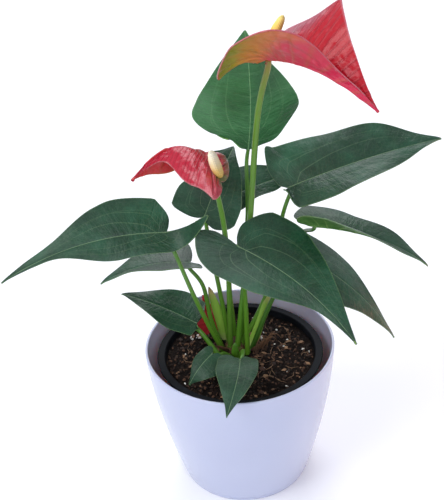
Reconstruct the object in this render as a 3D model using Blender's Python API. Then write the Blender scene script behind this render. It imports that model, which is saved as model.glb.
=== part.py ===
"""Potted anthurium: cachepot, nursery pot, potting mix, leaves and flowers."""
import math

import bpy
import bmesh
import numpy as np

MM = 0.001

# Cachepot, millimetres
POT_HEIGHT = 113.8
POT_RIM_RADIUS = 70.0
POT_FOOT_RADIUS = 49.0
POT_WALL = 1.9
POT_FLOOR = 2.6
POT_CURVE = 1.55
POT_FOOT_LINE = 3.4

# Nursery pot, millimetres
NURSERY_BASE_HEIGHT = 3.0
NURSERY_TOP = 105.8
NURSERY_LIP_RADIUS = 61.5
NURSERY_LIP_DEPTH = 1.6
NURSERY_TOP_RADIUS = 57.2
NURSERY_BASE_RADIUS = 41.0
NURSERY_WALL = 1.2

# Potting mix and the short stem, millimetres
SOIL_TOP = 101.0
SOIL_GAP = 0.4
CROWN_CENTRE = (-2.0, 12.0)
CROWN_RADIUS = 8.0
CROWN_TOP = 108.0

LEAF_THICKNESS = 0.9
SPATHE_THICKNESS = 0.9
GAP = 0.3

# Half outline of a heart shaped blade: across, along
OUTLINE = np.array([
    [0.02, -0.25], [0.16, -0.72], [0.46, -1.0],
    [0.86, -0.55], [1.0, 0.12], [0.88, 0.37],
    [0.55, 0.64], [0.20, 0.86], [0.012, 1.0]])
# Where each outline point's rib leaves the midrib
RIB_STARTS = np.array([0, .008, .02, .05, .14, .30, .52, .80, 1.0])

BASE_SHAPE = dict(
    wide=(30, 30), lobe=(12, 12), arch=5, roll=0, fold=(0, 0),
    tip_fold=(0, 0), curl=0, shoulder=(1, 1), middle=(1, 1),
    belly=(1, 1), taper=(1, 1), bow=0, droop=(0, 0),
    edges=({}, {}), rows=16, columns=4)

LEAVES = {
    "back": dict(
        joint=(14.7, 44, 249.5), tip=(15.8, 38, 339),
        wide=(44, 37), lobe=(-8, 8), arch=3, roll=-8,
        fold=(-10, -22), tip_fold=(-7, 8), curl=-12, bow=3,
        edges=({0: (.05, .002), 1: (.14, .012), 2: (.36, .078),
                3: (.68, .12), 4: (1.0, .225), 5: (.93, .37),
                6: (.70, .56), 7: (.44, .75)},
               {0: (.05, .002), 1: (.16, .008), 2: (.42, .05),
                3: (.66, .15), 4: (.90, .32), 5: (.87, .46),
                6: (.67, .61), 7: (.32, .80)}),
        stem=[(2.6, 16, 108.6), (8, 17, 180), (11.5, 22, 212),
              (13, 45, 236)]),
    "right_high": dict(
        joint=(41, 15, 233), tip=(150, 37, 252), wide=(34, 24),
        lobe=(9, 10), arch=5, roll=0, fold=(4, 20),
        middle=(1, .92), droop=(0, -10),
        curl=-12, shoulder=(1.28, .6), taper=(1.35, 1.15),
        stem=[(3.6, 10, 108.6), (22, 13, 147), (35, 15, 208)]),
    "right_middle": dict(
        joint=(55, -2, 211), tip=(135, -8, 176), wide=(24, 27),
        lobe=(13, 14), arch=8, roll=-20, fold=(3, 68),
        tip_fold=(6, 12), curl=-22, belly=(.85, 1.0),
        taper=(1, .6),
        stem=[(9.3, 16, 102.4), (25, 20, 145), (46, 21, 188)]),
    "front_large": dict(
        joint=(3, -15, 206), tip=(75, -74, 162), wide=(37, 25),
        lobe=(9, 27), arch=-7, roll=5, fold=(-4, -7),
        tip_fold=(-7, -7), curl=-6, shoulder=(.9, 1.15),
        belly=(.93, .87), taper=(.83, .5), bow=-9,
        stem=[(5.7, 2.4, 102.4), (6, 0, 150), (5, -8, 192)]),
    "right_low": dict(
        joint=(46, -2, 188), tip=(111, -20, 124), wide=(29, 27),
        lobe=(4, 14), arch=8, roll=-27, fold=(-5, -3),
        curl=-5, taper=(.6, .74),
        stem=[(9.8, 8.5, 102.4), (25, 5, 145), (39, 0, 175)]),
    "left_large": dict(
        joint=(-46, -4, 214.5), tip=(-158.5, -27, 197),
        wide=(15, 28), lobe=(28, 5), arch=8, roll=-15,
        fold=(5, 2), curl=-10, shoulder=(1.25, .78),
        middle=(1, .97), droop=(-34, 0),
        edges=({2: (.30, -1.0), 3: (.85, -.5)}, {}),
        belly=(1.2, .93), taper=(.5, .58), bow=7,
        stem=[(-13, 7, 102.4), (-21, 1, 128), (-31, -4, 162),
              (-42, -4, 200)]),
    "left_middle": dict(
        joint=(-32.5, 18, 175), tip=(-98, 13, 165), wide=(18, 26),
        lobe=(9, 3), arch=6, roll=34, fold=(14, 8), curl=0,
        belly=(1.04, .88),
        stem=[(-14, 13, 102.4), (-20, 15, 125), (-24, 16, 155)]),
    "left_low": dict(
        joint=(-31, 5, 130), tip=(-85, 22, 149), wide=(16, 23),
        shoulder=(.45, .8), middle=(.85, 1), lobe=(3, 2), arch=3, roll=15, fold=(0, 0), curl=-5,
        stem=[(-14, -4, 102.4), (-19, -2, 110), (-27, 2, 122)]),
    "front_left_small": dict(
        joint=(-21, -25, 123), tip=(-38, -39, 108), wide=(15, 8),
        lobe=(5, 5), arch=5, roll=0, curl=-8, rows=12, columns=3,
        stem=[(-7, -3, 102.4), (-12, -12, 113), (-18, -21, 118)],
        stem_radius=(1.5, 1.1)),
    "front_small": dict(
        joint=(-1, -39, 128), tip=(-13, -87, 118), wide=(13, 16),
        lobe=(8, 4), arch=7, roll=1, curl=-8, belly=(1, 1.1),
        taper=(1.1, 1.1), bow=-2, rows=12, columns=3,
        stem=[(0, -2, 102.4), (2, -14, 116), (1, -29, 123)],
        stem_radius=(1.6, 1.2)),
    "back_left": dict(
        joint=(-19, 18, 213), tip=(5, 54, 248), wide=(25, 23),
        lobe=(4, 6), arch=10, roll=10, fold=(5, 15),
        tip_fold=(16, 3), curl=-6, belly=(.85, .96),
        taper=(1.4, 1.0),
        stem=[(-7.6, 14, 108.6), (-12, 15, 150), (-18, 17, 200)]),
    "back_centre": dict(
        joint=(-5, 34, 216), tip=(51, 50, 226), wide=(21, 13),
        lobe=(8, 8), arch=3, roll=0, curl=-6, belly=(1.1, .8),
        taper=(1.15, 1.2), rows=12, columns=3,
        stem=[(-3, 18, 108.6), (-5, 23, 150), (-6, 30, 200)]),
}

FLOWERS = {
    "high": dict(
        joint=(26, -4.6, 334.4), tip=(90.2, -48, 313.4),
        wide=(29, 45), lobe=(19, 20), arch=17.5, roll=-8.5,
        edges=({}, {1: (.5, -.5), 2: (.82, -.92)}),
        fold=(12.6, 50), tip_fold=(68.5, 94), curl=-5,
        shoulder=(.81, 1.19), middle=(1.04, 1.22),
        belly=(1.65, 1.08), taper=(1.54, .59), droop=(7, 23),
        bow=7.5, rows=20, columns=5,
        stem=[(-1, 6.2, 108.6), (11, 8, 200), (20, 2, 292)],
        stem_radius=(2.3, 1.9), spadix=(0.45, -0.1, 1.0),
        spadix_length=28, spadix_radius=3.3),
    "middle": dict(
        joint=(-7, -23, 262), tip=(-64, -15, 262), wide=(36, 35),
        lobe=(3, 4), arch=20, roll=48, fold=(0, 28),
        tip_fold=(-60, -78), curl=-18, belly=(1.05, 1.05),
        taper=(.6, 1.3), bow=18, rows=16, columns=5,
        stem=[(-6.6, 8, 108.6), (-5, 3, 170), (-6, -7, 218)],
        stem_radius=(2.1, 1.7), spadix=(-0.25, -0.2, 1.0),
        spadix_length=20, spadix_radius=3.6),
    "low": dict(
        joint=(-20, 25, 107.5), tip=(-25, 38, 132), wide=(11, 10),
        lobe=(2, 2), arch=2, roll=0, fold=(12, 12),
        tip_fold=(40, 40), rows=10, columns=3,
        stem=[(-14.5, 25, 102.4), (-17, 27.5, 103.8),
              (-19, 28, 104.6)],
        stem_radius=(1.4, 1.2), spadix=None),
}


def clear_scene():
    for old in list(bpy.data.objects):
        bpy.data.objects.remove(old, do_unlink=True)


def make_material(name, colour, roughness):
    material = bpy.data.materials.new(name)
    material.use_nodes = True
    shader = material.node_tree.nodes["Principled BSDF"]
    shader.inputs["Base Color"].default_value = (*colour, 1)
    shader.inputs["Roughness"].default_value = roughness
    shader.inputs["Metallic"].default_value = 0.0
    return material


def add_object(name, points, faces, material):
    mesh = bpy.data.meshes.new(name)
    scaled = [tuple(float(v) * MM for v in p) for p in points]
    mesh.from_pydata(scaled, [], faces)
    work = bmesh.new()
    work.from_mesh(mesh)
    bmesh.ops.recalc_face_normals(work, faces=work.faces)
    work.to_mesh(mesh)
    work.free()
    mesh.materials.append(material)
    mesh.shade_smooth()
    obj = bpy.data.objects.new(name, mesh)
    bpy.context.collection.objects.link(obj)
    return obj


def lathe(name, profile, steps, material, wobble=None):
    """Turn a closed profile; a radius of 0 makes a pole."""
    points, rings, faces = [], [], []
    for radius, height in profile:
        if radius == 0:
            rings.append([len(points)] * steps)
            points.append((0, 0, height))
            continue
        ring = []
        for k in range(steps):
            a = 2 * math.pi * k / steps
            x, y = radius * math.cos(a), radius * math.sin(a)
            lift = wobble(x, y) if wobble else 0
            ring.append(len(points))
            points.append((x, y, height + lift))
        rings.append(ring)
    for low, high in zip(rings, rings[1:]):
        for k in range(steps):
            n = (k + 1) % steps
            face = [low[k], low[n], high[n], high[k]]
            face = [v for i, v in enumerate(face)
                    if v not in face[:i]]
            if len(face) > 2:
                faces.append(face)
    return add_object(name, points, faces, material)


def pot_radius(height):
    span = POT_RIM_RADIUS - POT_FOOT_RADIUS
    share = 1 - (1 - height / POT_HEIGHT) ** POT_CURVE
    return POT_FOOT_RADIUS + span * share


def build_cachepot():
    white = make_material("white_plastic", (.82, .82, .88), .25)
    outer = [(POT_FOOT_RADIUS - 1, 0), (POT_FOOT_RADIUS, .8),
             (POT_FOOT_RADIUS + .5, POT_FOOT_LINE - .7),
             (POT_FOOT_RADIUS, POT_FOOT_LINE)]
    heights = [6, 14, 26, 40, 55, 70, 85, 99, 110]
    outer += [(pot_radius(h), h) for h in heights]
    edge = POT_WALL / 2
    middle = POT_RIM_RADIUS - edge
    top = POT_HEIGHT - edge
    for angle in (0, 45, 90, 135, 180):
        a = math.radians(angle)
        outer.append((middle + edge * math.cos(a),
                      top + edge * math.sin(a)))
    inner = [(pot_radius(h) - POT_WALL, h)
             for h in reversed(heights[1:])]
    inner.append((pot_radius(POT_FLOOR) - POT_WALL - 2, POT_FLOOR))
    profile = [(0, 0)] + outer + inner + [(0, POT_FLOOR)]
    return lathe("cachepot", profile, 48, white)


def build_nursery_pot():
    grey = make_material("grey_plastic", (.035, .04, .045), .5)
    top, wall = NURSERY_TOP, NURSERY_WALL
    under = top - NURSERY_LIP_DEPTH
    base = NURSERY_BASE_HEIGHT
    profile = [
        (0, base), (NURSERY_BASE_RADIUS, base),
        (NURSERY_TOP_RADIUS - 1, under - 10),
        (NURSERY_TOP_RADIUS, under),
        (NURSERY_LIP_RADIUS, under), (NURSERY_LIP_RADIUS, top),
        (NURSERY_TOP_RADIUS - wall, top),
        (NURSERY_TOP_RADIUS - 1 - wall, under - 10),
        (NURSERY_BASE_RADIUS - wall, base + wall), (0, base + wall)]
    return lathe("nursery_pot", profile, 48, grey)


def soil_lift(x, y):
    wave = math.sin(.13 * x + 1) * math.cos(.11 * y - .5)
    return .9 * wave + .5 * math.sin(.29 * x - .23 * y)


def build_soil():
    brown = make_material("potting_mix", (.035, .02, .014), .95)
    floor = NURSERY_BASE_HEIGHT + NURSERY_WALL + SOIL_GAP
    low = NURSERY_BASE_RADIUS - NURSERY_WALL - SOIL_GAP - .3
    high = NURSERY_TOP_RADIUS - NURSERY_WALL - SOIL_GAP - 1.4
    top = SOIL_TOP - 1
    body = [(0, floor), (low, floor), (high, top - 4)]
    crown = [(high, top - 1), (46, top), (34, top),
             (24, top + .2), (12, top + .3), (0, top + .3)]

    def lift(x, y):
        reach = math.hypot(x, y)
        if reach < low + .1 or reach > high - .1:
            return 0
        near = min(1, max(0, (reach - 24) / 10))
        return soil_lift(x, y) * near
    points = body + crown
    return lathe("potting_mix", points, 40, brown, lift)


def build_crown():
    bark = make_material("crown_bark", (.12, .10, .03), .85)
    low = SOIL_TOP - 1 + .3 + GAP + .2
    r, top = CROWN_RADIUS, CROWN_TOP
    profile = [(0, low), (r, low), (r + .5, low + 2),
               (r, top - 1), (r - 1.5, top), (0, top)]
    crown = lathe("crown", profile, 14, bark)
    for vert in crown.data.vertices:
        vert.co.x += CROWN_CENTRE[0] * MM
        vert.co.y += CROWN_CENTRE[1] * MM
    return crown


def smooth_path(points, steps):
    """Catmull-Rom curve through the points, evenly stepped."""
    p = np.array(points, float)
    p = np.vstack([2 * p[0] - p[1], p, 2 * p[-1] - p[-2]])
    out = []
    for t in np.linspace(0, len(points) - 1, steps):
        i = min(int(t), len(points) - 2)
        f = t - i
        a, b, c, d = p[i:i + 4]
        out.append(.5 * (2 * b + (c - a) * f
                         + (2 * a - 5 * b + 4 * c - d) * f ** 2
                         + (3 * b - a - 3 * c + d) * f ** 3))
    return np.array(out)


def unit(vector):
    return vector / np.linalg.norm(vector)


def tube(name, path, radii, material, sides=8):
    """A closed tapering rod along the path."""
    points, faces = [], []
    side = np.array([1.0, 0, 0])
    for k, centre in enumerate(path):
        before = path[max(k - 1, 0)]
        after = path[min(k + 1, len(path) - 1)]
        ahead = unit(after - before)
        side = unit(side - side.dot(ahead) * ahead)
        other = np.cross(ahead, side)
        share = k / (len(path) - 1)
        radius = radii[0] + (radii[1] - radii[0]) * share
        for j in range(sides):
            a = 2 * math.pi * j / sides
            points.append(centre + radius * (
                math.cos(a) * side + math.sin(a) * other))
    count = len(path)
    for k in range(count - 1):
        for j in range(sides):
            n = (j + 1) % sides
            low, high = k * sides, (k + 1) * sides
            faces.append([low + j, low + n, high + n, high + j])
    last = (count - 1) * sides
    faces.append(list(range(sides)))
    faces.append(list(range(last, last + sides)))
    return add_object(name, points, faces, material)


def blade_axes(shape):
    """Along, across and upward directions of a blade."""
    joint = np.array(shape["joint"], float)
    along = np.array(shape["tip"], float) - joint
    length = np.linalg.norm(along)
    along = along / length
    lean = np.array([0, -.5, .866])
    up = unit(lean - lean.dot(along) * along)
    across = np.cross(along, up)
    a = math.radians(shape["roll"])
    turned = math.cos(a) * across - math.sin(a) * up
    raised = math.cos(a) * up + math.sin(a) * across
    return along, turned, raised, length


def sample_outline(outline, steps):
    points = [(x, y, 0) for x, y in outline]
    return smooth_path(points, steps)[:, :2]


def half_blade(shape, k, axes):
    """Rows of points from the midrib to one margin."""
    along, across, up, length = axes
    rows, columns = shape["rows"], shape["columns"]
    outline = OUTLINE.copy()
    outline[2:4, 0] *= shape["shoulder"][k]
    outline[4, 0] *= shape["middle"][k]
    outline[5, 0] *= shape["belly"][k]
    outline[6:8, 0] *= shape["taper"][k]
    for place, point in shape["edges"][k].items():
        outline[place] = point
    edge = sample_outline(outline, rows)
    lobe, wide = shape["lobe"][k], shape["wide"][k]
    edge_y = np.where(edge[:, 1] < 0, edge[:, 1] * lobe,
                      edge[:, 1] * length)
    steps = np.linspace(0, len(OUTLINE) - 1, rows)
    rib = np.interp(steps, range(len(OUTLINE)), RIB_STARTS) * length
    share = np.linspace(0, 1, columns + 1)
    x = (edge[:, 0] * wide)[:, None] * share
    y = rib[:, None] * (1 - share) + edge_y[:, None] * share
    s = y / length
    ahead = np.clip(s, 0, 1)
    back = np.clip(-y / abs(lobe), 0, 1)
    bend = 4 * ahead * (1 - ahead)
    rise = np.where(s < 0, 4 * s, bend) * shape["arch"]
    rise = rise - shape["droop"][k] * back ** 2
    fold, tip_fold = shape["fold"][k], shape["tip_fold"][k]
    angle = np.radians(fold + (tip_fold - fold) * ahead
                       + .5 * shape["curl"] * x / wide)
    sign = (-1, 1)[k]
    out = sign * x * np.cos(angle) + shape["bow"] * bend
    rise = rise + x * np.sin(angle)
    joint = np.array(shape["joint"], float)
    return (joint + y[..., None] * along + out[..., None] * across
            + rise[..., None] * up)


def blade_grid(shape):
    axes = blade_axes(shape)
    left = half_blade(shape, 0, axes)
    right = half_blade(shape, 1, axes)
    return np.concatenate([left[:, :0:-1], right], axis=1), axes


def grid_normals(grid, up):
    rows = np.gradient(grid, axis=0)
    columns = np.gradient(grid, axis=1)
    normal = np.cross(columns, rows)
    # small cells take the direction of their neighbours
    padded = np.pad(normal, ((1, 1), (1, 1), (0, 0)), "edge")
    high, wide = normal.shape[:2]
    normal = sum(padded[i:i + high, j:j + wide]
                 for i in range(3) for j in range(3))
    normal /= np.linalg.norm(normal, axis=2)[..., None] + 1e-9
    if (normal @ up).mean() < 0:
        normal = -normal
    return normal


def sheet(name, grid, up, thickness, material):
    """A closed thin solid around a grid of points."""
    rows, columns = grid.shape[:2]
    normal = grid_normals(grid, up) * thickness / 2
    points = np.concatenate([(grid + normal).reshape(-1, 3),
                             (grid - normal).reshape(-1, 3)])
    count = rows * columns
    faces = []
    for i in range(rows - 1):
        for j in range(columns - 1):
            a = i * columns + j
            quad = [a, a + 1, a + columns + 1, a + columns]
            faces.append(quad)
            faces.append([v + count for v in reversed(quad)])
    edge = [j for j in range(columns)]
    edge += [i * columns + columns - 1 for i in range(1, rows)]
    edge += [(rows - 1) * columns + j
             for j in range(columns - 2, -1, -1)]
    edge += [i * columns for i in range(rows - 2, 0, -1)]
    for a, b in zip(edge, edge[1:] + edge[:1]):
        faces.append([a, b, b + count, a + count])
    return add_object(name, points, faces, material)


def petiole_end(shape, axes, radius):
    """Where the stalk stops, just under the blade's joint."""
    along, across, up, length = axes
    joint = np.array(shape["joint"], float)
    slope = 4 * shape["arch"] / length
    normal = unit(up - slope * along)
    arrive = unit(joint - np.array(shape["stem"][-1], float))
    tilt = math.sqrt(max(0, 1 - arrive.dot(normal) ** 2))
    hang = math.tan(math.radians(max(0, -min(shape["fold"]))))
    drop = LEAF_THICKNESS / 2 + GAP + .25 + radius * (tilt + hang)
    return joint + along + slope * up - normal * drop


def build_leaf(name, spec, green, stalk):
    shape = dict(BASE_SHAPE, **spec)
    if "tip_fold" not in spec:
        shape["tip_fold"] = shape["fold"]
    grid, axes = blade_grid(shape)
    sheet("leaf_" + name, grid, axes[2], LEAF_THICKNESS, green)
    radii = shape.get("stem_radius", (1.9, 1.3))
    end = petiole_end(shape, axes, radii[1])
    path = smooth_path(shape["stem"] + [tuple(end)], 9)
    tube("petiole_" + name, path, radii, stalk)


def build_flower(name, spec, red, stalk, yellow):
    shape = dict(BASE_SHAPE, **spec)
    grid, axes = blade_grid(shape)
    along, across, up, length = axes
    sheet("spathe_" + name, grid, up, SPATHE_THICKNESS, red)
    radii = shape["stem_radius"]
    end = petiole_end(shape, axes, radii[1])
    path = smooth_path(shape["stem"] + [tuple(end)], 10)
    tube("peduncle_" + name, path, radii, stalk)
    if shape["spadix"] is None:
        return
    aim = unit(np.array(shape["spadix"], float))
    radius, long = shape["spadix_radius"], shape["spadix_length"]
    foot = spadix_foot(shape, axes, aim, radius * .62)
    build_spadix("spadix_" + name, foot, aim, long, radius, yellow)


def spadix_foot(shape, axes, aim, radius):
    """A place between the two folded halves, clear of both."""
    along, across, up, length = axes
    left, right = shape["fold"]
    lean = math.radians((right - left) / 2)
    half = math.radians(90 - (left + right) / 2)
    away = up * math.cos(lean) - across * math.sin(lean)
    tilt = math.sqrt(max(0, 1 - aim.dot(away) ** 2))
    need = radius + SPATHE_THICKNESS / 2 + GAP + .3
    reach = need / math.sin(half) + radius * tilt
    return np.array(shape["joint"], float) + away * reach


def build_spadix(name, foot, aim, long, radius, material):
    side = unit(np.cross(aim, [0, 1, 0]))
    other = np.cross(aim, side)
    shares = [0, .12, .4, .7, .9, .97]
    widths = [.62, .85, 1.0, .88, .6, .32]
    points, faces, sides = [], [], 10
    for share, width in zip(shares, widths):
        for j in range(sides):
            a = 2 * math.pi * j / sides
            points.append(foot + aim * long * share
                          + radius * width * (math.cos(a) * side
                                              + math.sin(a) * other))
    for k in range(len(shares) - 1):
        for j in range(sides):
            n = (j + 1) % sides
            low, high = k * sides, (k + 1) * sides
            faces.append([low + j, low + n, high + n, high + j])
    faces.append(list(range(sides)))
    last = len(points) - sides
    faces.append(list(range(last, last + sides)))
    return add_object(name, points, faces, material)


def build_sheath(stalk):
    """The pale sheath left by an older leaf."""
    path = smooth_path([(-9.5, 19.8, 102.4), (-15, 19, 130),
                        (-20, 19, 152)], 7)
    tube("sheath_pale", path, (2.4, .8), stalk)


def build_all():
    build_cachepot()
    build_nursery_pot()
    build_soil()
    build_crown()
    green = make_material("leaf_green", (.02, .075, .035), .4)
    stalk = make_material("stalk_green", (.12, .25, .03), .45)
    red = make_material("spathe_red", (.55, .03, .05), .25)
    yellow = make_material("spadix_yellow", (.9, .65, .08), .6)
    for name, spec in LEAVES.items():
        build_leaf(name, spec, green, stalk)
    for name, spec in FLOWERS.items():
        build_flower(name, spec, red, stalk, yellow)
    build_sheath(stalk)


clear_scene()
build_all()
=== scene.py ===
# Potted anthurium in a white cover pot: blades, stalks, flowers, potting mix and two pots
import math
import random

import bpy
import numpy as np
from mathutils import Matrix, Vector, noise


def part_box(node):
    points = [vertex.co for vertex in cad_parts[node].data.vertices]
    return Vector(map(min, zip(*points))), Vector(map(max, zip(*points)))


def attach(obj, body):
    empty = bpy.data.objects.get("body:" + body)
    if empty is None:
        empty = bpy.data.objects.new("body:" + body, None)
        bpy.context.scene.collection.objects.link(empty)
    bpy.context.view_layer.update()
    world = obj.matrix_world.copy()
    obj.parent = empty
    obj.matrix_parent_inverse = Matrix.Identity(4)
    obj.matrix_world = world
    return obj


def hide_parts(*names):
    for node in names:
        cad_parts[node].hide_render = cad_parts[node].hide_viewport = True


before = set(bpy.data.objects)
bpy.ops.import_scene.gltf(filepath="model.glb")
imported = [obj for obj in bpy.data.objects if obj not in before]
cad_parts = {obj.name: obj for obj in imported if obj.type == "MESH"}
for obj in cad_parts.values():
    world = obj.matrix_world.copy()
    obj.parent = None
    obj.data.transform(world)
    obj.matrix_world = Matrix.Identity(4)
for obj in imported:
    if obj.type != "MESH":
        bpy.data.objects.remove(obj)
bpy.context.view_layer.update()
random.seed(11)
mm = 0.001
# faces that meet at less than this many degrees are shaded smooth
crispShade, softShade = 40, 60
print("frame loaded:", len(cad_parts), "nodes")


# helpers for meshes

def deselectAll():
    if bpy.context.object and bpy.context.object.mode != "OBJECT":
        bpy.ops.object.mode_set(mode="OBJECT")
    bpy.ops.object.select_all(action="DESELECT")


def makeActive(piece):
    deselectAll()
    piece.select_set(True)
    bpy.context.view_layer.objects.active = piece


def pointsOf(piece):
    points = np.empty(len(piece.data.vertices) * 3)
    piece.data.vertices.foreach_get("co", points)
    return points.reshape(-1, 3)


def movePoints(piece, points):
    piece.data.vertices.foreach_set("co", np.asarray(points, float).ravel())
    piece.data.update()


def addNumbers(piece, name, values):
    # one number for each point, which the materials read by its name
    layer = piece.data.attributes.new(name, "FLOAT", "POINT")
    layer.data.foreach_set("value", np.asarray(values, np.float32))


def addFlatMap(piece, name, first, second):
    # a UV map from two numbers for each point
    corners = np.empty(len(piece.data.loops), int)
    piece.data.loops.foreach_get("vertex_index", corners)
    layer = piece.data.uv_layers.new(name=name)
    both = np.stack([first[corners], second[corners]], axis=1)
    layer.data.foreach_set("uv", both.astype(np.float32).ravel())


def closeShell(piece, gap=1e-6):
    # merge doubles, fill what is open and turn the faces outwards
    makeActive(piece)
    bpy.ops.object.mode_set(mode="EDIT")
    bpy.ops.mesh.select_all(action="SELECT")
    bpy.ops.mesh.remove_doubles(threshold=gap)
    bpy.ops.mesh.fill_holes(sides=0)
    bpy.ops.mesh.select_all(action="SELECT")
    bpy.ops.mesh.normals_make_consistent(inside=False)
    bpy.ops.object.mode_set(mode="OBJECT")


def joinPieces(pieces, name):
    deselectAll()
    for piece in pieces:
        piece.select_set(True)
    bpy.context.view_layer.objects.active = pieces[0]
    bpy.ops.object.join()
    pieces[0].name = name


def smoothShade(piece, degrees):
    makeActive(piece)
    bpy.ops.object.shade_smooth_by_angle(angle=math.radians(degrees))


def finishPiece(piece, nodes=(), material=None, shade=None):
    # what every piece ends with: shading, material, body and replaced nodes
    if shade:
        smoothShade(piece, shade)
    if material:
        piece.data.materials.append(material)
    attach(piece, "root")
    if nodes:
        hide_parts(*nodes)


def boxCentre(node):
    low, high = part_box(node)
    return (np.array(low) + np.array(high)) / 2


def centreOn(points, node):
    # metres, moved so that their box has the middle of the CAD node's box
    middle = (points.min(axis=0) + points.max(axis=0)) / 2
    return points + boxCentre(node) - middle


def unit(vector):
    return vector / np.linalg.norm(vector)


def smoothLine(points, places):
    # Catmull-Rom curve through the points, read at the places 0 to 1
    p = np.array(points, float)
    last = len(p) - 1
    p = np.vstack([2 * p[0] - p[1], p, 2 * p[-1] - p[-2]])
    at = np.clip(np.asarray(places, float), 0, 1) * last
    i = np.minimum(at.astype(int), last - 1)
    f = (at - i)[:, None]
    a, b, c, d = p[i], p[i + 1], p[i + 2], p[i + 3]
    return .5 * (2 * b + (c - a) * f + (2 * a - 5 * b + 4 * c - d) * f ** 2
                 + (3 * b - a - 3 * c + d) * f ** 3)


# helpers for materials

def linear(code):
    # sRGB hex to linear
    parts = [int(code[i:i + 2], 16) / 255 for i in (1, 3, 5)]
    return [p / 12.92 if p <= .04045 else ((p + .055) / 1.055) ** 2.4
            for p in parts] + [1.0]


def addNode(tree, kind, settings=None, links=None):
    # capital letters and numbers are sockets, the rest are the node's own settings;
    # a ramp's stops are pairs of place and hex colour
    node = tree.nodes.new("ShaderNode" + kind)
    for name, value in (settings or {}).items():
        if name == "stops":
            ramp = node.color_ramp
            while len(ramp.elements) > 1:
                ramp.elements.remove(ramp.elements[-1])
            ramp.elements[0].position = value[0][0]
            ramp.elements[0].color = linear(value[0][1])
            for place, code in value[1:]:
                ramp.elements.new(place).color = linear(code)
        elif isinstance(name, int) or name[0].isupper():
            node.inputs[name].default_value = value
        else:
            setattr(node, name, value)
    for name, socket in (links or {}).items():
        tree.links.new(socket, node.inputs[name])
    return node


def calc(tree, operation, *inputs):
    # an arithmetic node; numbers are set, sockets are linked
    numbers = {k: v for k, v in enumerate(inputs) if isinstance(v, (int, float))}
    links = {k: v for k, v in enumerate(inputs) if k not in numbers}
    return addNode(tree, "Math", dict(numbers, operation=operation), links).outputs["Value"]


def remap(tree, value, start, end, low=0, high=1):
    # start and end of the value become low and high
    return addNode(tree, "MapRange", {"From Min": start, "From Max": end, "To Min": low,
                                      "To Max": high}, {"Value": value}).outputs["Result"]


def noiseNode(tree, vector, scale, detail=2.0, roughness=.5):
    return addNode(tree, "TexNoise", {"Scale": scale, "Detail": detail,
                                      "Roughness": roughness},
                   {"Vector": vector}).outputs["Fac"]


def rampNode(tree, factor, stops):
    return addNode(tree, "ValToRGB", {"stops": stops}, {"Fac": factor}).outputs["Color"]


def blend(tree, factor, first, code):
    # the factor leads from the first colour to the hex code
    return addNode(tree, "Mix", {"data_type": "RGBA", 7: linear(code)},
                   {0: factor, 6: first}).outputs[2]


def lighten(tree, colour, value):
    return addNode(tree, "HueSaturation", {},
                   {"Color": colour, "Value": value}).outputs["Color"]


def stretched(tree, vector, scale, turn=(0, 0, 0)):
    return addNode(tree, "Mapping", {"Scale": scale, "Rotation": turn},
                   {"Vector": vector}).outputs["Vector"]


def objectPlace(tree):
    return addNode(tree, "TexCoord").outputs["Object"]


def mapPlace(tree, name):
    # a UV map and its two numbers
    vector = addNode(tree, "UVMap", {"uv_map": name}).outputs["UV"]
    split = addNode(tree, "SeparateXYZ", {}, {"Vector": vector})
    return vector, split.outputs["X"], split.outputs["Y"]


def numbersOf(tree, name):
    return addNode(tree, "Attribute", {"attribute_name": name}).outputs["Fac"]


def bumpNode(tree, height, strength, distance, under=None):
    links = {"Height": height} if under is None else {"Height": height, "Normal": under}
    return addNode(tree, "Bump", {"Strength": strength, "Distance": distance},
                   links).outputs["Normal"]


def dress(tree, shader, colour, roughness, height=None, strength=0, distance=0, under=None):
    # colour, roughness and fine relief reach the surface
    tree.links.new(colour, shader.inputs["Base Color"])
    if roughness is not None:
        tree.links.new(roughness, shader.inputs["Roughness"])
    if height is not None:
        tree.links.new(bumpNode(tree, height, strength, distance, under),
                       shader.inputs["Normal"])


def startMaterial(name, settings):
    material = bpy.data.materials.new(name)
    material.use_nodes = True
    shader = material.node_tree.nodes["Principled BSDF"]
    for socket, value in settings.items():
        shader.inputs[socket].default_value = value
    return material, material.node_tree, shader


# studio: floor, soft lights, camera

studio = {
    "distance": 0.6987, "elevation": 31.93, "roll": -3.78, "lens": 72,
    "aimAside": -0.00844, "aimHeight": 0.1949,
    "floorSize": 8, "floorColour": "#FAFAFB", "floorRoughness": .8,
    "worldStrength": .66, "worldColour": "#EEF2FF",
    "lampAim": .2, "backdropAim": 2.0,
    # name: place, size, strength, colour
    "lights": {
        "keyLeft": ((-.75, -.5, 1.15), .8, 7.6, "#FFFFFF"),
        "frontFill": ((.1, -1.3, .95), .8, 6.0, "#F4F6FF"),
        "topBack": ((.1, .7, 1.15), .8, 3.0, "#F2F6FF"),
        "backdrop": ((0, 2.3, 1.5), 2.4, 30, "#FFFFFF"),
        "warmRight": ((.5, .12, .03), .25, .7, "#FF9C70"),
    },
}


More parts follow.
